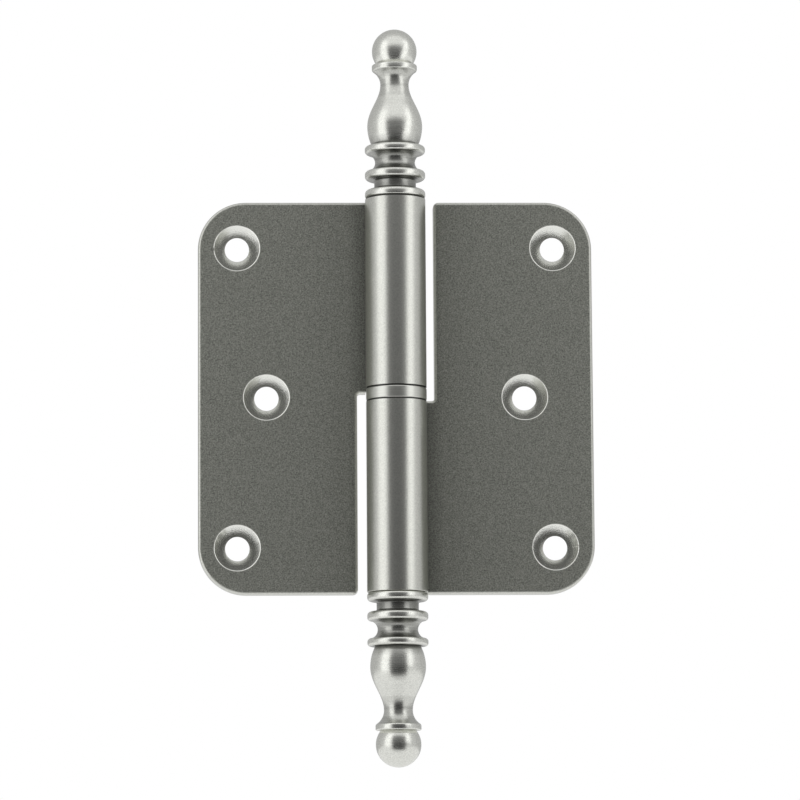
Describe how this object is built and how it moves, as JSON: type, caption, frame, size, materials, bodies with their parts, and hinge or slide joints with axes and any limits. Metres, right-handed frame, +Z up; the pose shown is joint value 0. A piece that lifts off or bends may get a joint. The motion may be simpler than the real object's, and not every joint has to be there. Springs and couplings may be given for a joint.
{
  "type": "lift-off hinge",
  "caption": "Handed lift-off door hinge: round-cornered sheet leaves with rolled knuckles on a fixed pin, a bearing ring between the knuckles and turned vase-and-ball finials.",
  "frame": {"origin": "on the pin's axis at mid-height, between the knuckles, which is also the middle of the whole hinge", "axes": "+Z up along the pin, the way the door leaf lifts off; +Y out of the back faces that lie on door and frame; +X towards the frame leaf"},
  "size_m": [0.089, 0.0136, 0.1668],
  "materials": {
    "leaf_sheet": "satin, fine matt grain",
    "turned_steel": "turned, satin",
    "ring_steel": "turned, satin",
    "pin_steel": "ground and greased"
  },
  "bodies": {
    "frame_leaf": {"lower_leaf": "leaf_sheet", "hinge_pin": "pin_steel", "lower_finial": "turned_steel"},
    "ring": {"bearing_ring": "ring_steel"},
    "door_leaf": {"upper_leaf": "leaf_sheet", "upper_finial": "turned_steel"}
  },
  "joints": [
    {"name": "leaf_swing", "type": "hinge", "parent": "frame_leaf", "child": "ring", "pos_m": [0, 0, 0], "axis": [0, 0, 1], "range_deg": [-95, 180]},
    {"name": "lift_off", "type": "slide", "parent": "ring", "child": "door_leaf", "axis": [0, 0, 1], "range_m": [0, 0.04]}
  ]
}
